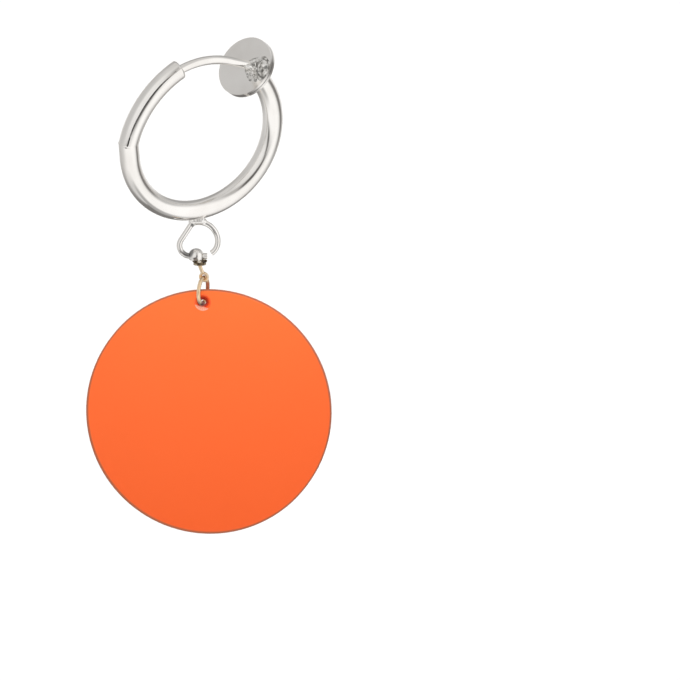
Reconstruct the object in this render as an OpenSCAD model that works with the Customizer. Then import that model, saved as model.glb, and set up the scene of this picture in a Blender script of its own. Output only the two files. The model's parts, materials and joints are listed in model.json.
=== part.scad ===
// Clip-on hoop earring with a round drop, in millimetres.
// The origin is the point between the two ear pads. +Z is up as the earring hangs,
// and -Y is the side that is seen when it is worn.

/* [Hoop] */
// Radius of the hoop, to the middle of its tube
hoop_r = 8.14; // [8:0.02:8.4]
// Diameter of the tube
tube_d = 2.0; // [1.9:0.05:2.1]
// Thickness of the tube's wall
tube_wall = 0.25; // [0.2:0.01:0.28]
// Lean of the hoop towards the front, in degrees from upright
hoop_lean = 15.8; // [10:0.1:20]
// Turn of the hoop about the vertical, in degrees
hoop_turn = 30.1; // [25:0.1:35]
// Place of the tube's open end on the hoop, in degrees from the right
open_end = 115.2; // [114.6:0.1:116.4]
// Width of the seam along the tube
seam_w = 0.13; // [0.1:0.01:0.2]
// Place of the seam round the tube, in degrees from the outer side towards the front
seam_round = 55; // [50:1:60]

/* [Clip] */
// Diameter of the wire that slides in the tube
wire_d = 0.88; // [0.84:0.02:1.02]
// Place where the wire stops being round with the hoop and runs straight to its pad
wire_bend = 75.4; // [74:0.1:77]
// Length of the wire's straight end
wire_end = 3.0; // [2.95:0.01:3.05]
// Length of wire inside the tube, in degrees of the hoop
wire_tail = 16; // [12:0.5:20]
// Diameter of the ear pads
pad_d = 6.2; // [5.6:0.1:6.6]
// Thickness of each ear pad
pad_t = 0.3; // [0.24:0.01:0.32]
// Gap between the closed pads
pad_gap = 0.06; // [0.04:0.01:0.1]
// Place of the pads on the hoop, in degrees
pad_at = 56.6; // [56:0.1:57]
// Distance of the pads' middle behind the hoop's plane
pad_back = 0.56; // [0.5:0.02:0.6]
// Cant of the pads from square to the hoop, in degrees
pad_cant = 10.9; // [9:0.1:12]

/* [Loop] */
// Place of the soldered loop on the hoop, in degrees
loop_at = 276; // [274:0.5:278]
// Diameter of the loop's wire
loop_wire_d = 0.56; // [0.52:0.01:0.58]
// Height from the tube's middle to the loop's middle
loop_drop = 3.18; // [3.1:0.01:3.2]

/* [Swivel] */
// Diameter of the bead
bead_d = 1.56; // [1.5:0.01:1.6]
// Clearance of the bead on the loop's wire
bead_clear = 0.04; // [0.03:0.01:0.05]
// Diameter of the wire of the coil under the bead
coil_wire_d = 0.29; // [0.27:0.01:0.31]
// Radius of the coil's upper turn, to the middle of its wire
coil_upper_r = 0.61; // [0.6:0.01:0.64]
// Radius of the coil's lower turn, to the middle of its wire
coil_lower_r = 0.5; // [0.48:0.01:0.52]
// Diameter of the eye pin's stem
pin_d = 0.36; // [0.3:0.01:0.38]
// Lean of the eye pin, in degrees from upright
pin_lean = 20; // [18:0.5:21]
// Height from the loop's foot to the middle of the pin's eye
eye_drop = 2.12; // [2.09:0.01:2.15]
// Diameter of the eye's wire
eye_wire_d = 0.28; // [0.26:0.01:0.3]
// Inner radius of the eye
eye_inner_r = 0.24; // [0.235:0.005:0.26]

/* [Jump ring] */
// Radius of the jump ring, to the middle of its wire
ring_r = 1.32; // [1.3:0.01:1.33]
// Diameter of the jump ring's wire
ring_wire_d = 0.38; // [0.34:0.01:0.39]
// Turn of the jump ring and the eye about the vertical, in degrees
ring_turn = 20; // [16:1:23]
// Lean of the jump ring to the side, in degrees
ring_lean = 4; // [2:0.5:5]

/* [Disc] */
// Diameter of the disc
disc_d = 24.6; // [20:0.1:30]
// Thickness of the disc
disc_t = 1.2; // [1:0.05:1.25]
// Bevel along the disc's rim
disc_bevel = 0.1; // [0.05:0.01:0.15]
// Radius of the hole in the disc
hole_r = 0.45; // [0.44:0.01:0.47]
// Countersink of the hole on both faces
hole_sink = 0.36; // [0.3:0.01:0.4]
// Distance from the hole's middle to the disc's rim
hole_margin = 1.21; // [1.15:0.01:1.3]
// Lean of the disc to the side, in degrees
disc_lean = 2.8; // [0:0.1:4]
// Turn of the disc about the vertical, in degrees
disc_turn = 5.6; // [0:0.1:8]

/* [Hidden] */
$fn = 64;

silver = "#d6d3cd";
old_gold = "#8a7448";
pale_gold = "#e2c48c";
orange = "#fd713a";

// Clearance of the sliding wire in the tube's lip, and length of that lip in degrees
lip_clear = 0.05;
lip_len = 2.2;
// Radius of the rounding at the open end
lip_round = 0.25;
// Place of the kink where the seam stops, in degrees
kink_at = 182.2;
// Radius of the flatter part of the tube, from its open end to the kink
upper_r = 10.2;
// Distance of the tube's middle outside the hoop's circle, at the open end and at the kink
lip_out = 0.1;
kink_out = 0.17;
// Angle by which the two parts lap over each other to fill the kink's corner
kink_lap = 1.2;
// Play between two pieces that stay together
fit_gap = 0.02;
// Play of the jump ring under the eye's middle and under the hole's middle
ring_in_eye = 0.02;
ring_in_hole = 0.15;
// Sideways places of the bead, the coil and the eye, from the loop's middle, and of
// the disc's hole from the foot of the ring
bead_side = -0.26;
coil_side = 0.1;
eye_side = 0.52;
hole_side = 0.115;
// Depth of the bead's flat under the loop's foot
bead_flat = 0.4;

// Directions of the hoop's plane: to its right, up along it, and out of its front
hoop_x = [cos(hoop_turn), sin(hoop_turn), 0];
hoop_up = [sin(hoop_lean) * sin(hoop_turn), -sin(hoop_lean) * cos(hoop_turn), cos(hoop_lean)];
hoop_front = [cos(hoop_lean) * sin(hoop_turn), -cos(hoop_lean) * cos(hoop_turn), -sin(hoop_lean)];
function on_hoop(at, front = 0) = hoop_r * (cos(at) * hoop_x + sin(at) * hoop_up) + front * hoop_front;

hoop_mid = -on_hoop(pad_at, -pad_back);

// The tube's middle line in the hoop's plane: round to straight_at, straight to the kink, and
// then on the flatter arc to the open end
function turn_of(v) = (atan2(v.y, v.x) + 360) % 360;
kink = (hoop_r + kink_out) * [cos(kink_at), sin(kink_at)];
lip = (hoop_r + lip_out) * [cos(open_end + 2), sin(open_end + 2)];
chord = (lip - kink) / 2;
upper_mid = kink + chord + sqrt(upper_r * upper_r - chord * chord) / norm(chord) * [chord.y, -chord.x];
upper_from = turn_of(lip - upper_mid);
upper_to = turn_of(kink - upper_mid);
straight_at = kink_at + acos(hoop_r / (hoop_r + kink_out));
straight_len = (hoop_r + kink_out) * sin(straight_at - kink_at);

loop_top = hoop_mid + on_hoop(loop_at);
loop_mid = [loop_top.x + 0.11, loop_top.y, loop_top.z - loop_drop];

// Bends of the loop, from its cut end at the lower right round to the bead, by the middle of its
// wire: loop_r is the radius of its large round part
loop_r = 1.9;
loop_cut_at = -57;
loop_end_r = 1.4;
loop_end_turn = 50;
loop_round = 112;
strand_turn = 42;
strand_r = 0.5;
strand_len = 1.816;
side_r = 1.0;
side_turn = 33;
corner_r = 1.07;
foot_len = 1.7;
loop_foot = 1.513;

loop_steps = [
    [loop_end_r, loop_end_turn],
    [loop_r, loop_round],
    [strand_r, strand_turn],
    [strand_len],
    [side_r, side_turn],
    [corner_r, 90],
    [foot_len]];

foot_z = loop_mid.z - loop_foot;
bead_mid = [loop_mid.x + bead_side, loop_mid.y, foot_z];
coil_mid = [loop_mid.x + coil_side, loop_mid.y, foot_z];
eye_mid = [loop_mid.x + eye_side, loop_mid.y, foot_z - eye_drop];
eye_r = eye_inner_r + eye_wire_d / 2;
ring_down = [-sin(ring_lean), 0, -cos(ring_lean)];
ring_mid = eye_mid + (ring_in_eye + ring_r) * ring_down;
hole_mid = ring_mid + (ring_r - ring_in_hole) * ring_down + [hole_side, 0, 0];
hole_to_mid = disc_d / 2 - hole_margin;

coil_pitch = coil_wire_d * 0.88;
coil_top = bead_flat + fit_gap + coil_wire_d / 2;
pin_len = (eye_drop - bead_flat - fit_gap - pin_d / 2 * sin(pin_lean)) / cos(pin_lean);

// Puts its children in the hoop's own frame: right, up along the plane, out of the front
module in_hoop() {
    translate(hoop_mid)
        rotate([0, 0, hoop_turn])
            rotate([hoop_lean + 90, 0, 0])
                children();
}

// Puts its children at a place on the hoop: outwards, along the tube, out of the front
module at_hoop(at) {
    in_hoop()
        rotate([0, 0, at])
            translate([hoop_r, 0, 0])
                children();
}

// A round bar bent to the hoop, between two places on it
module hoop_bar(from, to, d) {
    in_hoop()
        rotate([0, 0, from])
            rotate_extrude(angle = to - from)
                translate([hoop_r, 0])
                    circle(d = d);
}

// Puts its children on the pads' axis, which points from the tube's pad to the wire's pad
module on_pads() {
    at_hoop(pad_at)
        translate([0, 0, -pad_back])
            rotate([pad_cant - 90, 0, 0])
                children();
}

// A wire in the XY plane that starts along +X. A step of one number is a straight
// length, and a step of two is a bend's radius and its angle, positive to the left.
module wire_run(d, steps, i = 0) {
    if (i < len(steps)) {
        step = steps[i];
        if (len(step) == 1) {
            rotate([0, 90, 0])
                cylinder(d = d, h = step[0]);
            translate([step[0], 0, 0])
                wire_run(d, steps, i + 1);
        } else {
            side = step[1] > 0 ? 1 : -1;
            turn = abs(step[1]);
            translate([0, side * step[0], 0])
                rotate([0, 0, side > 0 ? -90 : 90 - turn])
                    rotate_extrude(angle = turn)
                        translate([step[0], 0])
                            circle(d = d);
            translate([0, side * step[0], 0])
                rotate([0, 0, step[1]])
                    translate([0, -side * step[0], 0])
                        wire_run(d, steps, i + 1);
        }
    }
}

// Puts its children at the middle of the flatter arc, turned to a place on it
module on_upper(at) {
    in_hoop()
        translate(upper_mid)
            rotate([0, 0, at])
                children();
}

// A bar along the tube's whole middle line, from a place on the flatter arc to one on the hoop
module tube_bar(from, to, d) {
    on_upper(from)
        rotate_extrude(angle = upper_to - from + kink_lap)
            translate([upper_r, 0])
                circle(d = d);
    at_hoop(straight_at)
        rotate([90, 0, 0])
            cylinder(d = d, h = straight_len + upper_r * sin(kink_lap));
    hoop_bar(straight_at, to, d);
}

// The tube's outside, with its rounded open end
module tube_outside() {
    tube_bar(upper_from, 360 + pad_at - 2, tube_d);
    on_upper(upper_from)
        translate([upper_r, 0, 0])
            rotate([90, 0, 0]) {
                rotate_extrude()
                    translate([tube_d / 2 - lip_round, 0])
                        circle(r = lip_round);
                cylinder(r = tube_d / 2 - lip_round, h = lip_round);
            }
}

// The narrow seam in the tube's front, from the open end to the kink
module seam() {
    depth = tube_wall + 0.1;
    on_upper(upper_from - 5)
        rotate_extrude(angle = upper_to - upper_from + 5)
            translate([upper_r, 0])
                rotate([0, 0, seam_round])
                    translate([tube_d / 2 - depth, -seam_w / 2])
                        square([depth + 0.2, seam_w]);
}

module tube() {
    bore_end = 360 + pad_at - 14;
    difference() {
        tube_outside();
        tube_bar(upper_from + lip_len, bore_end, tube_d - 2 * tube_wall);
        hoop_bar(open_end - 6, open_end + lip_len + 4, wire_d + 2 * lip_clear);
        seam();
        on_pads()
            translate([0, 0, -pad_gap / 2 - pad_t / 2])
                cylinder(d = 2 * pad_d, h = 4);
    }
}

// The open loop under the hoop, in the XZ plane, and its solder
module loop() {
    translate(loop_mid)
        rotate([90, 0, 0]) {
            rotate([0, 0, loop_cut_at + loop_end_turn])
                translate([loop_r - loop_end_r, 0, 0])
                    rotate([0, 0, -loop_end_turn])
                        translate([loop_end_r, 0, 0])
                            rotate([0, 0, 90])
                                wire_run(loop_wire_d, loop_steps);
            solder_r = 0.34;
            translate([-0.62, loop_r + 0.06, 0]) {
                rotate([0, 90, 0])
                    cylinder(r = solder_r, h = 1.1);
                sphere(r = solder_r);
                translate([1.1, 0, 0])
                    sphere(r = solder_r);
            }
        }
}

module hoop() {
    color(silver) {
        tube();
        on_pads()
            translate([0, 0, -pad_gap / 2 - pad_t])
                cylinder(d = pad_d, h = pad_t);
        loop();
    }
}

module clip_wire() {
    color(silver) {
        hoop_bar(wire_bend, open_end + wire_tail, wire_d);
        difference() {
            at_hoop(wire_bend)
                rotate([90, 0, 0])
                    cylinder(d = wire_d, h = wire_end + 0.5);
            on_pads()
                translate([0, 0, pad_gap / 2 + pad_t / 2 - 4])
                    cylinder(d = 2 * pad_d, h = 4);
        }
        on_pads()
            translate([0, 0, pad_gap / 2])
                cylinder(d = pad_d, h = pad_t);
    }
}

module bead() {
    color(silver)
        difference() {
            translate(bead_mid)
                sphere(d = bead_d);
            translate(bead_mid - [bead_d, 0, 0])
                rotate([0, 90, 0])
                    cylinder(d = loop_wire_d + 2 * bead_clear, h = 2 * bead_d);
            translate(bead_mid - [0, 0, bead_flat + bead_d])
                cylinder(r = bead_d, h = bead_d);
        }
}

module coil() {
    color(old_gold)
        translate(coil_mid - [0, 0, coil_top]) {
            coil_turn(coil_upper_r);
            translate([0, 0, -coil_pitch])
                coil_turn(coil_lower_r);
        }
}

module coil_turn(r) {
    rotate_extrude()
        translate([r, 0])
            circle(d = coil_wire_d);
}

// Puts its children at the eye's middle, with +Z along the leaning pin
module along_pin() {
    translate(eye_mid)
        rotate([0, -pin_lean, 0])
            children();
}

module eye_pin() {
    color(pale_gold) {
        along_pin()
            translate([0, 0, eye_r + 0.02])
                cylinder(d = pin_d, h = pin_len - eye_r - 0.02);
        translate(eye_mid)
            rotate([90, 0, -ring_turn])
                rotate_extrude()
                    translate([eye_r, 0])
                        circle(d = eye_wire_d);
    }
}

module jump_ring() {
    color(pale_gold)
        translate(ring_mid)
            rotate([0, ring_lean, 0])
                rotate([0, 90, -ring_turn])
                    rotate_extrude()
                        translate([ring_r, 0])
                            circle(d = ring_wire_d);
}

module disc() {
    r = disc_d / 2;
    half = disc_t / 2;
    color(orange)
        translate(hole_mid)
            rotate([90, 0, -disc_turn])
                difference() {
                    rotate([0, 0, disc_lean])
                        translate([0, -hole_to_mid, 0])
                            rotate_extrude($fn = 180)
                                polygon([
                                    [0, -half],
                                    [r - disc_bevel, -half],
                                    [r, -half + disc_bevel],
                                    [r, half - disc_bevel],
                                    [r - disc_bevel, half],
                                    [0, half]]);
                    cylinder(r = hole_r, h = 2 * disc_t, center = true);
                    for (side = [0, 1])
                        mirror([0, 0, side])
                            translate([0, 0, -half - 0.1])
                                cylinder(r1 = hole_r + hole_sink + 0.1, r2 = hole_r, h = hole_sink + 0.1);
                }
}

hoop();
clip_wire();
bead();
coil();
eye_pin();
jump_ring();
disc();
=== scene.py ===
import bpy
import bmesh
import json
import math
from mathutils import Matrix, Vector, noise


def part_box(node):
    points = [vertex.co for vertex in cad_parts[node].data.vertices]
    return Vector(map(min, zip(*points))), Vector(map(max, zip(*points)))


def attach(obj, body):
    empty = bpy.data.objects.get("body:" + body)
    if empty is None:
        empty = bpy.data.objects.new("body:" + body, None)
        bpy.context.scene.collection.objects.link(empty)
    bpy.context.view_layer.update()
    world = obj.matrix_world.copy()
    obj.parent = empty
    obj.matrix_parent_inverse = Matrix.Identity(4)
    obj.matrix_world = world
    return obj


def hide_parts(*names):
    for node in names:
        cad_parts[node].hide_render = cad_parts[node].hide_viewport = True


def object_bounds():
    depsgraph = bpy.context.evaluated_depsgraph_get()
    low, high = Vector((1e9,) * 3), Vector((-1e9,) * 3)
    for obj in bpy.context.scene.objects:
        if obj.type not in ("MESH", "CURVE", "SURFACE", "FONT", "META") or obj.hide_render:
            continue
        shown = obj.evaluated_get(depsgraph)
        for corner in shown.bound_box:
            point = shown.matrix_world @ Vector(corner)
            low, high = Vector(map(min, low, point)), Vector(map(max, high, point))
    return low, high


# Clip-on hoop earring with an orange disc, in metres, in the frame of the CAD part.
# The origin is between the ear pads, +Z is up and -Y is the side seen when it is worn.
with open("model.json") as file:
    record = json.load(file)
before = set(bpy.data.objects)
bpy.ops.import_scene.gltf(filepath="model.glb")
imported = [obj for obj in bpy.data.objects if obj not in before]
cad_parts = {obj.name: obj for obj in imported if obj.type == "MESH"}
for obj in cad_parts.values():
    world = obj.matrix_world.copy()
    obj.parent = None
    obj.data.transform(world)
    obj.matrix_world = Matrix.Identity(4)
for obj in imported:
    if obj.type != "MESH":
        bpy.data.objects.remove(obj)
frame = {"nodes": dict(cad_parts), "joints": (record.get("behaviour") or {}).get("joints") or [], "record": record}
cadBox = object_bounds()
nodes = frame["nodes"]
mm = 0.001


# Middle of a CAD node's box, in mm
def middleOf(name):
    low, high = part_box(name)
    return (low + high) / 2 / mm


# Places in mm and directions that the frame gives. Both directions point to the front.
joints = {joint["name"]: joint for joint in frame["joints"]}
mounts = {mount["name"]: mount for mount in frame["record"]["mounts"]}
holeMiddle = Vector(joints["disc_swing"]["pos_m"]) / mm
holeAxis = Vector(joints["disc_swing"]["axis"]).normalized()
padNormal = Vector(mounts["ear_clip"]["axis"]).normalized()
coilMiddle = middleOf("coil")
discMiddle = middleOf("disc")


def linearColour(code):
    channels = [int(code[i:i + 2], 16) / 255 for i in (1, 3, 5)]
    return tuple(c / 12.92 if c <= 0.04045 else ((c + 0.055) / 1.055) ** 2.4 for c in channels) + (1.0,)


# Adds a node. Settings are properties of the node, inputs are plain values or (node, output) links.
def addNode(tree, kind, settings=None, inputs=None):
    node = tree.nodes.new(kind)
    for name, value in (settings or {}).items():
        setattr(node, name, value)
    for name, value in (inputs or {}).items():
        if isinstance(value, tuple) and isinstance(value[0], bpy.types.Node):
            tree.links.new(value[0].outputs[value[1]], node.inputs[name])
        else:
            node.inputs[name].default_value = value
    return node


def newMaterial(name):
    material = bpy.data.materials.new(name)
    material.use_nodes = True
    tree = material.node_tree
    tree.nodes.clear()
    shader = addNode(tree, "ShaderNodeBsdfPrincipled")
    addNode(tree, "ShaderNodeOutputMaterial", inputs={"Surface": (shader, 0)})
    place = addNode(tree, "ShaderNodeTexCoord")
    return material, tree, shader, place


def setRamp(node, stops):
    ramp = node.color_ramp
    while len(ramp.elements) < len(stops):
        ramp.elements.new(0.5)
    for element, (position, colour) in zip(ramp.elements, stops):
        element.position = position
        element.color = linearColour(colour)


spotCore = 0.6                 # part of a spot's radius inside which its colour is even


# Blends small round spots of painted shade, highlight and reflection into a surface: place in mm, radius in mm,
# colour, share
def addPaintedSpots(tree, place, colour, spots):
    for middle, radius, tone, share in spots:
        reach = addNode(tree, "ShaderNodeVectorMath", {"operation": "DISTANCE"}, {
            0: (place, "Object"), 1: Vector(middle) * mm})
        cover = addNode(tree, "ShaderNodeMapRange", {"interpolation_type": "SMOOTHSTEP"}, {
            "Value": (reach, "Value"), "From Min": radius * mm, "From Max": radius * spotCore * mm,
            "To Max": share})
        blend = addNode(tree, "ShaderNodeMix", {"data_type": "RGBA"}, {
            0: (cover, 0), 6: colour, 7: linearColour(tone)})
        colour = (blend, 2)
    return colour


camera = {
    "distance": 2.8,           # m, far away, as with a long lens
    "elevation": 8.0,          # degrees above level
    "frameWidth": 0.068,       # metres that the 680 px frame spans at the object
    "target": (9.326 * mm, 0.5 * mm, -27.56 * mm),
    "sensor": 36,              # mm
    "clip": (0.01, 40),        # m
}


def placeCamera(look):
    lensData = bpy.data.cameras.new("camera")
    lensData.sensor_width = look["sensor"]
    lensData.lens = look["sensor"] * look["distance"] / look["frameWidth"]
    lensData.clip_start, lensData.clip_end = look["clip"]
    eye = bpy.data.objects.new("camera", lensData)
    bpy.context.scene.collection.objects.link(eye)
    rise = math.radians(look["elevation"])
    back = Vector((0, -math.cos(rise), math.sin(rise)))
    eye.location = Vector(look["target"]) + back * look["distance"]
    eye.rotation_euler = (math.radians(90) - rise, 0, 0)
    bpy.context.scene.camera = eye


placeCamera(camera)
bpy.context.scene.view_settings.view_transform = "Standard"  # the photo's whites are plain whites
print("camera placed")

# The studio is a white tent seen in the polished tube. Each card is a soft patch of the tent, laid over
# those before it: azimuth (0 is towards the camera, 90 is +X), elevation, half width, half height,
# softness, tilt and grey, with the angles in degrees. The floor and the lamp are in metres.
studio = {
    "tent": "#CDCCCB",
    "strength": 1.1,
    "cards": [
        (180, 5, 48, 48, 0.5, 0, "#F2F1F0"),
        (180, -60, 62, 52, 0.5, 0, "#7A7876"),
        (180, 38, 58, 28, 0.4, 0, "#A09F9E"),
        (20, -48, 95, 17, 0.5, 0, "#F6F5F4"),
        (60, -80, 90, 16, 0.5, 0, "#A8A7A6"),
        (-30, 18, 30, 34, 0.45, 0, "#E4E3E2"),
        (57, 0, 34, 50, 0.4, 0, "#FAF9F8"),
        (-105, 20, 45, 34, 0.5, 0, "#BFBEBD"),
        (113, 15, 24, 42, 0.4, 0, "#BDBCBB"),
        (113, -10, 18, 20, 0.4, 0, "#7E7C7A"),
        (12, 22, 11, 34, 0.5, 0, "#B4B2B0"),
        (11, -2, 10, 20, 0.4, 0, "#63615F"),
        (-26, -24, 34, 6, 0.5, 18, "#6E6C6A"),
    ],
    "floor": {
        "drop": 0.15,          # below the earring
        "half": 6.0,
        "tints": [(0.3, "#F6F6F5"), (0.7, "#F9F9F8")],
        "grain": 30.0,         # patches of the paper's tints to the metre
        "roughness": 0.9,
    },
    "sun": {"strength": 1.7, "turn": (15, 0, -25), "angle": 60},
    "lamp": {
        "place": (-0.004, -0.030, -0.002),
        "aim": (-0.004, 0, -0.030),
        "size": 0.012,
        "energy": 0.009,
    },
}


def buildTent(look):
    world = bpy.data.worlds.new("tent")
    bpy.context.scene.world = world
    world.use_nodes = True
    tree = world.node_tree
    tree.nodes.clear()
    way = addNode(tree, "ShaderNodeTexCoord")
    split = addNode(tree, "ShaderNodeSeparateXYZ", inputs={0: (way, "Generated")})
    front = addNode(tree, "ShaderNodeMath", {"operation": "MULTIPLY"}, {0: (split, "Y"), 1: -1.0})
    turn = addNode(tree, "ShaderNodeMath", {"operation": "ARCTAN2"}, {0: (split, "X"), 1: (front, 0)})
    rise = addNode(tree, "ShaderNodeMath", {"operation": "ARCSINE"}, {0: (split, "Z")})
    angles = addNode(tree, "ShaderNodeCombineXYZ", inputs={0: (turn, 0), 1: (rise, 0)})
    tone = addNode(tree, "ShaderNodeRGB")
    tone.outputs[0].default_value = linearColour(look["tent"])
    last = (tone, 0)
    for azimuth, elevation, wide, high, soft, tilt, grey in look["cards"]:
        # a card straight behind is laid at both ends of the scale of azimuths
        for middle in (180, -180) if azimuth == 180 else (azimuth,):
            local = addNode(tree, "ShaderNodeMapping", {"vector_type": "TEXTURE"}, {
                "Vector": (angles, 0),
                "Location": (math.radians(middle), math.radians(elevation), 0),
                "Rotation": (0, 0, math.radians(tilt)),
                "Scale": (math.radians(wide), math.radians(high), 1)})
            reach = addNode(tree, "ShaderNodeVectorMath", {"operation": "LENGTH"}, {0: (local, 0)})
            cover = addNode(tree, "ShaderNodeMapRange", {"interpolation_type": "SMOOTHSTEP"}, {
                "Value": (reach, "Value"), "From Min": 1 + soft, "From Max": 1 - soft})
            mix = addNode(tree, "ShaderNodeMix", {"data_type": "RGBA"}, {
                0: (cover, 0), 6: last, 7: linearColour(grey)})
            last = (mix, 2)
    light = addNode(tree, "ShaderNodeBackground", inputs={"Color": last, "Strength": look["strength"]})
    behind = addNode(tree, "ShaderNodeBackground", inputs={"Color": (1, 1, 1, 1), "Strength": 1.0})
    ray = addNode(tree, "ShaderNodeLightPath")
    both = addNode(tree, "ShaderNodeMixShader", inputs={
        0: (ray, "Is Camera Ray"), 1: (light, 0), 2: (behind, 0)})
    addNode(tree, "ShaderNodeOutputWorld", inputs={"Surface": (both, 0)})


# A sweep of white paper under the earring
def buildFloor(look):
    half = look["half"]
    z = min(corner[2] for corner in cadBox) - look["drop"]
    corners = [(-half, -half, z), (half, -half, z), (half, half, z), (-half, half, z)]
    mesh = bpy.data.meshes.new("floor")
    mesh.from_pydata(corners, [], [(0, 1, 2, 3)])
    floor = bpy.data.objects.new("floor", mesh)
    bpy.context.scene.collection.objects.link(floor)
    material, tree, shader, place = newMaterial("whitePaperSweep")
    shader.inputs["Roughness"].default_value = look["roughness"]
    grain = addNode(tree, "ShaderNodeTexNoise", inputs={
        "Vector": (place, "Object"), "Scale": look["grain"]})
    tint = addNode(tree, "ShaderNodeValToRGB", inputs={0: (grain, 0)})
    setRamp(tint, look["tints"])
    tree.links.new(tint.outputs[0], shader.inputs["Base Color"])
    mesh.materials.append(material)
    floor.visible_glossy = False


# A wide soft sun and a small near lamp, which light the earring and aren't seen in its metal
def addLamps(sunLook, lampLook):
    sunData = bpy.data.lights.new("softSun", "SUN")
    sunData.energy = sunLook["strength"]
    sunData.angle = math.radians(sunLook["angle"])
    sun = bpy.data.objects.new("softSun", sunData)
    sun.rotation_euler = [math.radians(a) for a in sunLook["turn"]]
    lampData = bpy.data.lights.new("nearLamp", "AREA")
    lampData.shape = "DISK"
    lampData.size = lampLook["size"]
    lampData.energy = lampLook["energy"]
    lamp = bpy.data.objects.new("nearLamp", lampData)
    lamp.location = lampLook["place"]
    beam = Vector(lampLook["aim"]) - lamp.location
    lamp.rotation_euler = beam.to_track_quat("-Z", "Y").to_euler()
    lamp.visible_camera = False
    for light in (sun, lamp):
        light.visible_glossy = False
        bpy.context.scene.collection.objects.link(light)


buildTent(studio)
buildFloor(studio["floor"])
addLamps(studio["sun"], studio["lamp"])
print("studio built")


# A metal clouded between its tints, with small spots of painted light. Its gloss varies with a grain.
def cloudedMetal(name, look):
    material, tree, shader, place = newMaterial(name)
    shader.inputs["Metallic"].default_value = 1.0
    cloud = addNode(tree, "ShaderNodeTexNoise", inputs={
        "Vector": (place, "Object"), "Scale": 1 / (look["cloud"] * mm), "Detail": look["cloudDetail"]})
    tint = addNode(tree, "ShaderNodeValToRGB", inputs={0: (cloud, 0)})
    setRamp(tint, look["tints"])
    colour = addPaintedSpots(tree, place, (tint, 0), look["spots"])
    tree.links.new(colour[0].outputs[colour[1]], shader.inputs["Base Color"])
    grain = addNode(tree, "ShaderNodeTexNoise", inputs={
        "Vector": (place, "Object"), "Scale": 1 / (look["grain"] * mm), "Detail": look["grainDetail"]})
    gloss = addNode(tree, "ShaderNodeMapRange", inputs={
        "Value": (grain, 0), "To Min": look["roughness"][0], "To Max": look["roughness"][1]})
    tree.links.new(gloss.outputs[0], shader.inputs["Roughness"])
    return material, tree, shader, place, colour


# Brass plated with silver and polished on a mop: a mirror that is slightly warm, with faint wipe marks
silverLook = {
    "tints": [(0.35, "#F1EEEA"), (0.65, "#FBF9F6")],
    "cloud": 4.0,              # mm across the faint clouds of the plating
    "cloudDetail": 2.0,
    "grain": 0.35,             # mm across the wipe marks, coarser than real so that they show
    "grainDetail": 4.0,
    "roughness": (0.05, 0.14),
    "wave": 1.6,               # mm across the slow waves of the bent tube
    "waveDepth": 0.004,        # mm
    "spots": [                 # painted shade and dark reflections: grey in the corners round the bead and the loop, brown where the bead meets the coil
        ((-5.85, 0.85, -18.72), 0.72, "#7F7E7D", 0.85),
        ((-4.62, 0.55, -18.60), 0.24, "#6E6D6E", 0.8),
        ((-5.42, 1.0, -16.0), 0.26, "#6E6D6B", 0.8),
        ((-5.10, 0.5, -19.48), 0.30, "#57493A", 0.85)],
}

# Silver solder is the same plated metal, left duller, with painted shade in the corner beside the loop
loopSolderLook = {
    **silverLook,
    "roughness": (0.2, 0.36),
    "spots": [((-5.42, 0.95, -16.02), 0.2, "#6E6D6B", 0.85)],
}


def platedSilver(name, look):
    material, tree, shader, place = cloudedMetal(name, look)[:4]
    wave = addNode(tree, "ShaderNodeTexNoise", inputs={
        "Vector": (place, "Object"), "Scale": 1 / (look["wave"] * mm), "Detail": 1.0})
    bump = addNode(tree, "ShaderNodeBump", inputs={
        "Height": (wave, 0), "Strength": 1.0, "Distance": look["waveDepth"] * mm})
    tree.links.new(bump.outputs[0], shader.inputs["Normal"])
    return material


# Brass wire browned by the flame: satin, with blotches of dark oxide that are rougher than the bare brass
coilLook = {
    "tints": [(0.38, "#5E4F3C"), (0.5, "#A8987E"), (0.64, "#E2D7C0")],
    "cloud": 0.5,              # mm across the blotches
    "cloudDetail": 3.0,
    "grain": 0.5,              # the same blotches
    "grainDetail": 3.0,
    "roughness": (0.45, 0.22),
    "spots": [                 # a painted highlight at the front, between two painted dark reflections at the sides
        ((-4.72, 0.55, -19.62), 0.22, "#F4EDE0", 0.8),
        ((-5.12, 0.7, -19.62), 0.32, "#4A3C28", 0.9),
        ((-4.33, 0.7, -19.58), 0.32, "#40352A", 0.9)],
}

# Brass wire with a thin gold plate, drawn and tumbled bright: warm, with soft highlights
goldLook = {
    "tints": [(0.35, "#FFD9A8"), (0.65, "#FFEACB")],
    "cloud": 0.6,              # mm across the clouds of the plating
    "cloudDetail": 2.0,
    "grain": 0.6,              # the same clouds
    "grainDetail": 2.0,
    "roughness": (0.24, 0.36),
    "spots": [                 # painted shade, brown, in the eye; painted reflections of the orange disc, red where the ring hangs behind it and in its hole
        ((-4.31, 0.92, -21.2), 0.27, "#8A5A30", 0.85),
        ((-3.93, 2.5, -22.6), 1.05, "#B0502F", 0.9),
        ((-4.28, 0.92, -23.75), 0.62, "#8E2018", 0.95)],
}


acrylicIor = 1.49
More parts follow.
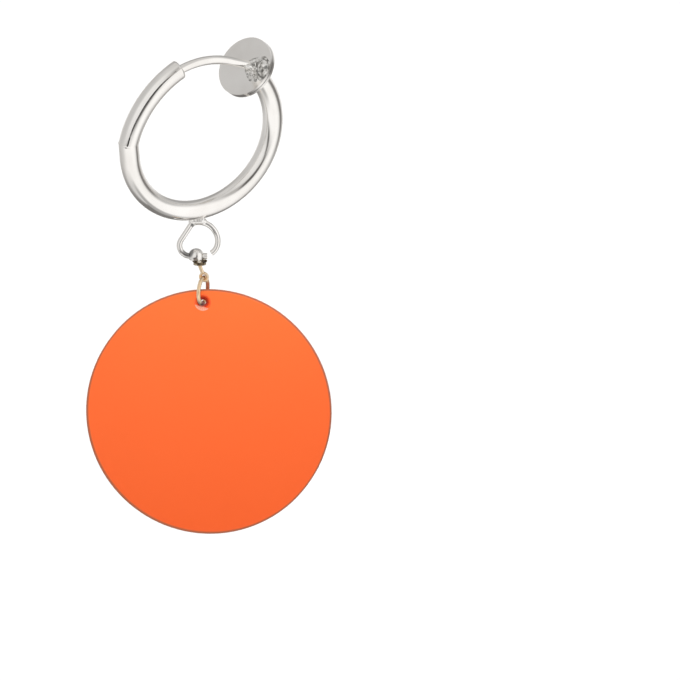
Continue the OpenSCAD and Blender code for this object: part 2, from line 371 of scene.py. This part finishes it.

# Cast acrylic sheet, dyed orange and sanded to a satin, with a soft sheen and a few specks, and painted light: a
# touch lighter towards the top and deeper towards the foot. Its sawn rim is dull, with a brown painted shade round
# the edge.
discLook = {
    "foot": "#E65508",         # painted light: deeper towards the foot and lighter towards the head, as light from above makes it
    "head": "#E66121",
    "rim": "#A15838",          # painted shade round the edge; the specks have this colour too
    "cloud": 6.0,              # mm across the faint clouds of the dye
    "cloudiness": 0.12,
    "speckGap": 3.4,           # mm across the cells, of which some hold a speck
    "speckless": 0.62,         # part of the cells that hold none
    "speck": 0.22,             # mm, radius
    "speckDark": 0.5,
    "radius": 12.33,           # mm, to the outer corner of the rim
    "rimReach": (12.09, 12.25),    # mm from a middle of its own, where the brown painted shade round the edge begins and is full
    "rimOff": (0.08, 0, 0.08),     # mm from the disc's middle to that one: the painted shade is browner at the lower left
    "sawnRoughness": 0.85,
    "grit": 0.12,              # mm, coarser than the real sanding so that it shows
    "gritDepth": 0.0015,       # mm
    "roughness": (0.38, 0.5),
}


def satinAcrylic(look):
    material, tree, shader, place = newMaterial("satinAcrylic")
    shader.inputs["IOR"].default_value = acrylicIor
    cloud = addNode(tree, "ShaderNodeTexNoise", inputs={
        "Vector": (place, "Object"), "Scale": 1 / (look["cloud"] * mm), "Detail": 3.0})
    # painted light: the colour runs from the foot's to the head's with height, with faint clouds of the dye
    split = addNode(tree, "ShaderNodeSeparateXYZ", inputs={0: (place, "Object")})
    height = addNode(tree, "ShaderNodeMapRange", inputs={
        "Value": (split, "Z"), "From Min": (discMiddle.z - look["radius"]) * mm,
        "From Max": (discMiddle.z + look["radius"]) * mm})
    uneven = addNode(tree, "ShaderNodeMath", {"operation": "MULTIPLY_ADD"}, {
        0: (cloud, 0), 1: look["cloudiness"], 2: (height, 0)})
    tint = addNode(tree, "ShaderNodeValToRGB", inputs={0: (uneven, 0)})
    setRamp(tint, [(0.1, look["foot"]), (1.0, look["head"])])
    # sparse dark specks in the sheet, one to a cell where the cell's own number is high
    cells = addNode(tree, "ShaderNodeTexVoronoi", inputs={
        "Vector": (place, "Object"), "Scale": 1 / (look["speckGap"] * mm)})
    number = addNode(tree, "ShaderNodeSeparateColor", inputs={0: (cells, "Color")})
    chosen = addNode(tree, "ShaderNodeMath", {"operation": "GREATER_THAN"}, {
        0: (number, 0), 1: look["speckless"]})
    inside = addNode(tree, "ShaderNodeMapRange", {"interpolation_type": "SMOOTHSTEP"}, {
        "Value": (cells, "Distance"), "From Min": look["speck"] / look["speckGap"], "From Max": 0.0,
        "To Max": look["speckDark"]})
    speckled = addNode(tree, "ShaderNodeMath", {"operation": "MULTIPLY"}, {0: (chosen, 0), 1: (inside, 0)})
    face = addNode(tree, "ShaderNodeMix", {"data_type": "RGBA"}, {
        0: (speckled, 0), 6: (tint, 0), 7: linearColour(look["rim"])})
    # painted shade: a brown band round the edge; the same mask makes the sawn rim duller
    far = addNode(tree, "ShaderNodeVectorMath", {"operation": "DISTANCE"}, {
        0: (place, "Object"), 1: (discMiddle + Vector(look["rimOff"])) * mm})
    rim = addNode(tree, "ShaderNodeMapRange", {"interpolation_type": "SMOOTHSTEP"}, {
        "Value": (far, "Value"), "From Min": look["rimReach"][0] * mm,
        "From Max": look["rimReach"][1] * mm})
    rimPaintedShade = addNode(tree, "ShaderNodeMix", {"data_type": "RGBA"}, {
        0: (rim, 0), 6: (face, 2), 7: linearColour(look["rim"])})
    tree.links.new(rimPaintedShade.outputs[2], shader.inputs["Base Color"])
    sand = addNode(tree, "ShaderNodeTexNoise", inputs={
        "Vector": (place, "Object"), "Scale": 1 / (look["grit"] * mm), "Detail": 2.0})
    gloss = addNode(tree, "ShaderNodeMapRange", inputs={
        "Value": (sand, 0), "To Min": look["roughness"][0], "To Max": look["roughness"][1]})
    sawn = addNode(tree, "ShaderNodeMix", inputs={0: (rim, 0), 2: (gloss, 0), 3: look["sawnRoughness"]})
    tree.links.new(sawn.outputs[0], shader.inputs["Roughness"])
    bump = addNode(tree, "ShaderNodeBump", inputs={
        "Height": (sand, 0), "Strength": 1.0, "Distance": look["gritDepth"] * mm})
    tree.links.new(bump.outputs[0], shader.inputs["Normal"])
    return material


# The same acrylic where the drill has cut it: a glossy wall, deep red partly as the dye and partly as painted
# shade inside the hole, with painted red light given off by the wall, and a painted highlight on the lower lip
holeLook = {
    # the wall's deep red is partly the dye and partly painted shade inside the hole
    "wall": "#B0281A",
    "face": "#E0531C",
    # colour of the painted highlight on the lower lip
    "highlightTone": "#CF937C",
    "paintedGlow": "#A01E14",         # painted light: red light given off by the wall, standing in for light that soaks through the dyed sheet into the hole
    "paintedGlowStrength": 0.22,
    "lip": (0.5, 0.62),        # mm from the hole's axis, from the wall's red to the face's orange
    "lipHighlightWay": (-0.25, 0, -0.95),
    "lipHighlight": (0.44, 0.54),     # mm that way from the hole's middle, from where the painted highlight on the lower lip begins
    "highlightNoise": 0.25,           # mm across the noise that makes the highlight's edge uneven
    "highlightNoiseReach": 0.08,      # mm that the noise moves it
    "roughness": 0.3,
}


def drilledAcrylic(look):
    material, tree, shader, place = newMaterial("drilledAcrylic")
    shader.inputs["IOR"].default_value = acrylicIor
    shader.inputs["Roughness"].default_value = look["roughness"]
    # painted light: the wall gives off red light though it is no lamp
    shader.inputs["Emission Color"].default_value = linearColour(look["paintedGlow"])
    shader.inputs["Emission Strength"].default_value = look["paintedGlowStrength"]
    offset = addNode(tree, "ShaderNodeVectorMath", {"operation": "SUBTRACT"}, {
        0: (place, "Object"), 1: holeMiddle * mm})
    across = addNode(tree, "ShaderNodeVectorMath", {"operation": "CROSS_PRODUCT"}, {
        0: (offset, 0), 1: holeAxis})
    far = addNode(tree, "ShaderNodeVectorMath", {"operation": "LENGTH"}, {0: (across, 0)})
    lip = addNode(tree, "ShaderNodeMapRange", {"interpolation_type": "SMOOTHSTEP"}, {
        "Value": (far, "Value"), "From Min": look["lip"][0] * mm, "From Max": look["lip"][1] * mm})
    face = addNode(tree, "ShaderNodeMix", {"data_type": "RGBA"}, {
        0: (lip, 0), 6: linearColour(look["wall"]), 7: linearColour(look["face"])})
    below = addNode(tree, "ShaderNodeVectorMath", {"operation": "DOT_PRODUCT"}, {
        0: (offset, 0), 1: Vector(look["lipHighlightWay"]).normalized()})
    highlightNoise = addNode(tree, "ShaderNodeTexNoise", inputs={
        "Vector": (place, "Object"), "Scale": 1 / (look["highlightNoise"] * mm), "Detail": 2.0})
    uneven = addNode(tree, "ShaderNodeMath", {"operation": "MULTIPLY_ADD"}, {
        0: (highlightNoise, 0), 1: look["highlightNoiseReach"] * mm, 2: (below, "Value")})
    # painted highlight: the lower lip is lighter where it faces up towards the light
    lipHighlight = addNode(tree, "ShaderNodeMapRange", {"interpolation_type": "SMOOTHSTEP"}, {
        "Value": (uneven, 0), "From Min": look["lipHighlight"][0] * mm, "From Max": look["lipHighlight"][1] * mm})
    colour = addNode(tree, "ShaderNodeMix", {"data_type": "RGBA"}, {
        0: (lipHighlight, 0), 6: (face, 2), 7: linearColour(look["highlightTone"])})
    tree.links.new(colour.outputs[2], shader.inputs["Base Color"])
    return material


silver = platedSilver("polishedSilverPlate", silverLook)
dullSilver = platedSilver("dullSilverSolder", loopSolderLook)
brownBrass = cloudedMetal("flamedBrassWire", coilLook)[0]
gold = cloudedMetal("tumbledGoldWire", goldLook)[0]
acrylic = satinAcrylic(discLook)
redAcrylic = drilledAcrylic(holeLook)
for name, material in {"hoop": silver, "clip_wire": silver, "bead": silver, "coil": brownBrass,
                       "eye_pin": gold, "jump_ring": gold, "disc": acrylic}.items():
    nodes[name].data.materials.clear()
    nodes[name].data.materials.append(material)
print("materials set")


# A closed round of points about a middle, from the direction across towards the direction up
def addRound(build, middle, across, up, radius, sides):
    turns = [2 * math.pi * k / sides for k in range(sides)]
    return [build.verts.new(middle + (across * math.cos(t) + up * math.sin(t)) * radius) for t in turns]


# The faces between rounds of points that follow one another
def joinRounds(build, rounds):
    for a, b in zip(rounds, rounds[1:]):
        for k in range(len(a)):
            n = (k + 1) % len(a)
            build.faces.new((a[k], a[n], b[n], b[k]))


# A piece from a mesh built in millimetres
def newPiece(name, build, material, body):
    mesh = bpy.data.meshes.new(name)
    bmesh.ops.recalc_face_normals(build, faces=build.faces)
    build.to_mesh(mesh)
    build.free()
    mesh.transform(Matrix.Scale(mm, 4))
    mesh.materials.append(material)
    for polygon in mesh.polygons:
        polygon.use_smooth = True
    piece = bpy.data.objects.new(name, mesh)
    bpy.context.scene.collection.objects.link(piece)
    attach(piece, body)
    return piece


# The coil: one wire wound twice round the foot of the bead, with a step between its two turns
coil = {
    "wire": 0.29,                  # diameter, mm
    "upper": (0.60, -19.68),       # radius and height of the upper turn, mm
    "lower": (0.50, -19.96),
    "start": -8,                   # degrees, where the upper end lies
    "stepAt": (252, 342),          # degrees, from the upper turn down to the lower
    "end": 678,
    "points": 190,
    "sides": 20,
    "filed": 0.72,                 # the cut ends are filed to this part of the wire
}


def woundCoil(look):
    build = bmesh.new()
    path = []
    for i in range(look["points"] + 1):
        angle = look["start"] + (look["end"] - look["start"]) * i / look["points"]
        t = (angle - look["stepAt"][0]) / (look["stepAt"][1] - look["stepAt"][0])
        t = min(max(t, 0), 1)
        t = t * t * (3 - 2 * t)
        r, z = [upper + (lower - upper) * t for upper, lower in zip(look["upper"], look["lower"])]
        a = math.radians(angle)
        path.append(Vector((coilMiddle.x + r * math.cos(a), coilMiddle.y + r * math.sin(a), z)))
    rounds = []
    last = len(path) - 1
    for i, point in enumerate(path):
        ahead = (path[min(i + 1, last)] - path[max(i - 1, 0)]).normalized()
        side = ahead.cross(Vector((0, 0, 1))).normalized()
        thick = look["wire"] / 2 * (look["filed"] if i in (0, last) else 1)
        rounds.append(addRound(build, point, side, side.cross(ahead), thick, look["sides"]))
    joinRounds(build, rounds)
    for end in (rounds[0], rounds[-1]):
        build.faces.new(end)
    piece = newPiece("woundCoil", build, brownBrass, "link")
    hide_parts("coil")
    return piece


# The solder that holds the wire's end on its pad: a lumpy fillet round the wire and a crater beside it.
# Its places are in the pad's plane, in mm from the pad's middle: across to the right, and up.
padSolder = {
    "face": 0.33,                  # mm from the origin to the pad's outer face
    "fillet": {"middle": (0.63, -0.09), "radius": 0.396, "height": 0.40, "spread": 0.24, "fall": 1.4},
    "lumps": [                     # across, up, half width, height
        (0.42, -0.55, 0.24, 0.36), (0.70, -0.55, 0.20, 0.34), (0.96, -0.62, 0.24, 0.40),
        (1.28, -0.42, 0.18, 0.30), (1.56, -0.29, 0.18, 0.32), (1.05, -1.05, 0.18, 0.34),
        (1.12, -1.45, 0.18, 0.30), (1.36, -1.85, 0.18, 0.26), (2.30, -1.42, 0.18, 0.14),
        (2.05, -0.50, 0.18, 0.14)],
    "crater": {
        "middle": (2.24, -0.90),
        "across": 0.74,            # its radius across and up
        "up": 1.12,
        "width": 0.14,             # of its wall, as a part of that radius
        "height": 0.30,
        "ripple": (0.85, 0.5, 1.6),    # mean and unevenness of the wall, and ripples to the mm
        "floor": (0.05, 0.09, 0.6),    # height of the floor, its waves, and their fineness to the wrinkles
    },
    "hollows": [                   # across, up and radius of the hollows, which are also darkened with painted shade, and how dark
        (2.51, -0.82, 0.26, 0.7), (2.09, -1.10, 0.26, 0.7), (1.50, -0.80, 0.18, 0.6),
        (1.62, -1.48, 0.24, 0.7), (2.20, -1.97, 0.18, 0.7), (2.90, -0.02, 0.30, 0.85),
        (1.78, -0.02, 0.16, 0.6), (0.30, -0.98, 0.16, 0.5)],
    "hollowDepth": 0.12,
    "hollowWidth": 0.8,            # as a part of the dark spot's radius
    "grain": 0.4,                  # mm across the wrinkles of the frozen solder
    "wrinkle": 0.03,               # their depth
    "middle": (1.45, -0.80),       # middle and reach of the solder on the pad
    "reach": 1.95,
    "edge": (0.86, 0.14, 1.3),     # mean and unevenness of that reach, and how often it changes
    "rim": 3.04,                   # it stops short of the pad's rim
    "skin": 0.012,                 # thickness where there is no lump
    "sink": (0.05, 0.97, 7),       # depth of the edge in the pad, where it is reached, and how steeply
    "under": 0.08,                 # thickness of the edge
    "slices": {"ripple": 1.5, "floor": 2.0, "wrinkle": 0, "edge": 4.2},    # of the one solid noise
    "rounds": 60,
    "sides": 140,
}

# Tin solder that froze unpolished: a grey mirror, wrinkled, with painted shade darkening its hollows and the
# creases round the crater
padSolderLook = {
    "tints": [(0.34, "#A8A7A3"), (0.48, "#E2E0DC"), (0.6, "#F8F7F4")],
    "creaseShade": "#5F5E5B",
    "cloud": padSolder["grain"],
    "cloudDetail": 1.5,
    "grain": padSolder["grain"],
    "grainDetail": 1.5,
    "roughness": (0.12, 0.3),
    "creases": [(0.86, 0.07), (1.20, 0.03)],   # place and half width, as parts of the crater's radius
    "creaseDark": 0.55,
}


# Middle of the pad's outer face, and its directions across and up
def padFrame(look):
    across = (Vector((1, 0, 0)) - padNormal * padNormal.x).normalized()
    return padNormal * look["face"], across, padNormal.cross(across)


def frozenSolder(solder, look):
    base, across, up = padFrame(solder)
    # painted shade in the hollows
    spots = [(base + across * u + up * v, r, look["creaseShade"], share) for u, v, r, share in solder["hollows"]]
    material, tree, shader, place, colour = cloudedMetal("frozenSolder", {**look, "spots": spots})
    # distance from the crater's middle, as a part of its radius that way
    crater = solder["crater"]
    middle = base + across * crater["middle"][0] + up * crater["middle"][1]
    offset = addNode(tree, "ShaderNodeVectorMath", {"operation": "SUBTRACT"}, {
        0: (place, "Object"), 1: middle * mm})
    along = addNode(tree, "ShaderNodeVectorMath", {"operation": "DOT_PRODUCT"}, {
        0: (offset, 0), 1: across / (crater["across"] * mm)})
    rise = addNode(tree, "ShaderNodeVectorMath", {"operation": "DOT_PRODUCT"}, {
        0: (offset, 0), 1: up / (crater["up"] * mm)})
    flat = addNode(tree, "ShaderNodeCombineXYZ", inputs={0: (along, "Value"), 1: (rise, "Value")})
    far = addNode(tree, "ShaderNodeVectorMath", {"operation": "LENGTH"}, {0: (flat, 0)})
    # painted shade in two creases round the crater
    inner, outer = [addNode(tree, "ShaderNodeMath", {"operation": "COMPARE"}, {
        0: (far, "Value"), 1: at, 2: half}) for at, half in look["creases"]]
    both = addNode(tree, "ShaderNodeMath", {"operation": "MAXIMUM"}, {0: (inner, 0), 1: (outer, 0)})
    share = addNode(tree, "ShaderNodeMath", {"operation": "MULTIPLY"}, {
        0: (both, 0), 1: look["creaseDark"]})
    creased = addNode(tree, "ShaderNodeMix", {"data_type": "RGBA"}, {
        0: (share, 0), 6: colour, 7: linearColour(look["creaseShade"])})
    tree.links.new(creased.outputs[2], shader.inputs["Base Color"])
    return material


# Height of a soft mound that is 1 high, at a place across and up from its middle
def mound(across, up, width):
    return math.exp(-((across ** 2 + up ** 2) / width ** 2))


# Height of the solder above the pad, at a place across and up
def solderHeight(look, u, v):
    fillet = look["fillet"]
    gap = math.hypot(u - fillet["middle"][0], v - fillet["middle"][1]) - fillet["radius"]
    height = fillet["height"] * math.exp(-(max(gap, 0) / fillet["spread"]) ** fillet["fall"])
    for x, y, wide, tall in look["lumps"]:
        height += tall * mound(u - x, v - y, wide)
    crater = look["crater"]
    x, y = crater["middle"]
    ring = math.hypot((u - x) / crater["across"], (v - y) / crater["up"])
    mean, uneven, often = crater["ripple"]
    ripple = mean + uneven * noise.noise(Vector((u * often, v * often, look["slices"]["ripple"])))
    height += crater["height"] * ripple * math.exp(-((ring - 1) / crater["width"]) ** 2)
    if ring < 1:
        floor, waves, fine = crater["floor"]
        spot = Vector((u, v, look["slices"]["floor"]))
        height += floor + waves * noise.noise(spot / look["grain"] * fine)
    for x, y, r, share in look["hollows"]:
        height -= look["hollowDepth"] * share * mound(u - x, v - y, r * look["hollowWidth"])
    spot = Vector((u, v, look["slices"]["wrinkle"]))
    return height + look["wrinkle"] * noise.noise(spot / look["grain"])


# Place across, up and off the pad, at a part of the way from the solder's middle to its edge
def solderPlace(look, part, turn):
    way = (math.cos(turn), math.sin(turn))
    mean, uneven, often = look["edge"]
    spot = Vector((way[0] * often, way[1] * often, look["slices"]["edge"]))
    edge = look["reach"] * (mean + uneven * noise.noise(spot))
    u, v = [start + edge * part * step for start, step in zip(look["middle"], way)]
    far = math.hypot(u, v)
    if far > look["rim"]:
        u *= look["rim"] / far
        v *= look["rim"] / far
    depth, reachedAt, steep = look["sink"]
    sunk = min(part / reachedAt, 1) ** steep
    lift = max(solderHeight(look, u, v), 0) * (1 - sunk) + look["skin"] - depth * sunk
    return u, v, lift


def solderOnPad(look, material):
    base, across, up = padFrame(look)
    build = bmesh.new()
    turns = [2 * math.pi * k / look["sides"] for k in range(look["sides"])]
    rounds = []
    for i in range(look["rounds"] + 1):
        places = [solderPlace(look, i / look["rounds"], turn) for turn in (turns if i else turns[:1])]
        rounds.append([
            build.verts.new(base + across * u + up * v + padNormal * lift) for u, v, lift in places])
    middle = rounds.pop(0)[0]
    for k, point in enumerate(rounds[0]):
        build.faces.new((middle, rounds[0][k - 1], point))
    under = [build.verts.new(point.co - padNormal * look["under"]) for point in rounds[-1]]
    joinRounds(build, rounds + [under])
    build.faces.new(under)
    return newPiece("padSolder", build, material, "slide")


# The silver solder that joins the loop to the hoop: overlapping drops run together, then smoothed
loopSolder = {
    "drops": [                     # place and radius in mm
        (-5.46, 1.22, -15.93, 0.33), (-5.47, 1.22, -15.66, 0.37), (-5.25, 1.22, -15.62, 0.40),
        (-5.00, 1.22, -15.60, 0.42), (-4.75, 1.22, -15.60, 0.42), (-4.50, 1.22, -15.60, 0.41),
        (-4.34, 1.22, -15.66, 0.35), (-4.20, 1.22, -15.80, 0.31), (-5.66, 1.20, -15.42, 0.20),
        (-5.56, 1.00, -15.42, 0.26), (-5.56, 1.42, -15.42, 0.26), (-4.40, 1.00, -15.42, 0.26),
        (-4.40, 1.45, -15.42, 0.26)],
    "voxel": 0.04,                 # mm, how finely the drops run together
    "smoothing": (0.5, 14),        # how strongly, and how many times
}


def solderOnLoop(look):
    build = bmesh.new()
    for x, y, z, radius in look["drops"]:
        place = Matrix.Translation((x, y, z))
        bmesh.ops.create_icosphere(build, subdivisions=3, radius=radius, matrix=place)
    mesh = bpy.data.meshes.new("drops")
    build.to_mesh(mesh)
    build.free()
    rough = bpy.data.objects.new("drops", mesh)
    bpy.context.scene.collection.objects.link(rough)
    remesh = rough.modifiers.new("remesh", "REMESH")
    remesh.mode = "VOXEL"
    remesh.voxel_size = look["voxel"]
    smooth = rough.modifiers.new("smooth", "SMOOTH")
    smooth.factor, smooth.iterations = look["smoothing"]
    ready = rough.evaluated_get(bpy.context.evaluated_depsgraph_get())
    build = bmesh.new()
    build.from_mesh(ready.data)
    bpy.data.objects.remove(rough)
    return newPiece("loopSolder", build, dullSilver, "clip")


# The wall of the disc's hole, cut by the drill, with its countersink on both faces. Depths are from the
# disc's middle to the back, and the sizes are in mm.
holeWall = {
    "bore": 0.45,
    "sink": 0.36,
    "half": 0.6,                   # half of the disc's thickness
    "skin": 0.008,                 # how far the wall stands in from the disc's own
    "soft": (0.035, 0.35),         # the small round where the cone meets the bore, and how full it is
    "proud": 0.002,                # how far the lips stand out of the disc's faces
    "boreTo": -0.02,               # depth where the clean bore ends
    # swarf that narrows the hole towards the back and follows the ring's slant: depth, radius, and the
    # place of its middle to the left and up
    "swarf": [(0.12, 0.33, 0.07, -0.09), (0.26, 0.285, 0.05, -0.11), (0.40, 0.262, 0.02, -0.08),
              (0.50, 0.25, 0, -0.035), (0.55, 0.25, 0, -0.01), (0.575, 0.255, -0.01, 0), (0.585, 0.3, 0, 0),
              (0.59, 0.6, 0, 0)],
    "hidden": (0.02, 0.03),        # how far its outer side lies in the sheet, at the lips and at the bore
    "sides": 72,
}


def drilledWall(look):
    build = bmesh.new()
    across = holeAxis.cross(Vector((0, 0, 1))).normalized()
    up = across.cross(holeAxis)
    half, bore, sink, skin, proud = [look[size] for size in ("half", "bore", "sink", "skin", "proud")]
    soft, full = look["soft"]
    atLip, atBore = look["hidden"]
    lip = bore + sink
    front = [(-half - proud, lip), (-half + sink / 2, bore + sink / 2 - skin),
             (-half + sink - soft, bore + soft - skin), (-half + sink, bore + soft * full - skin),
             (-half + sink + soft, bore - skin), (look["boreTo"], bore - skin)]
    outer = [(half + proud, lip), (half, lip + atLip), (half - sink, bore + atBore),
             (-half + sink, bore + atBore), (-half, lip + atLip)]
    profile = [(y, r, 0, 0) for y, r in front] + look["swarf"] + [(y, r, 0, 0) for y, r in outer]
    rounds = []
    for y, r, left, above in profile:
        middle = holeMiddle - holeAxis * y + across * left + up * above
        rounds.append(addRound(build, middle, across, up, r, look["sides"]))
    joinRounds(build, rounds + rounds[:1])
    return newPiece("drilledWall", build, redAcrylic, "drop")


woundCoil(coil)
solderOnPad(padSolder, frozenSolder(padSolder, padSolderLook))
solderOnLoop(loopSolder)
wall = drilledWall(holeWall)
for orange in (nodes["disc"], wall):   # the photo's silver shows none of the disc's orange
    orange.visible_glossy = False
print("pieces built")
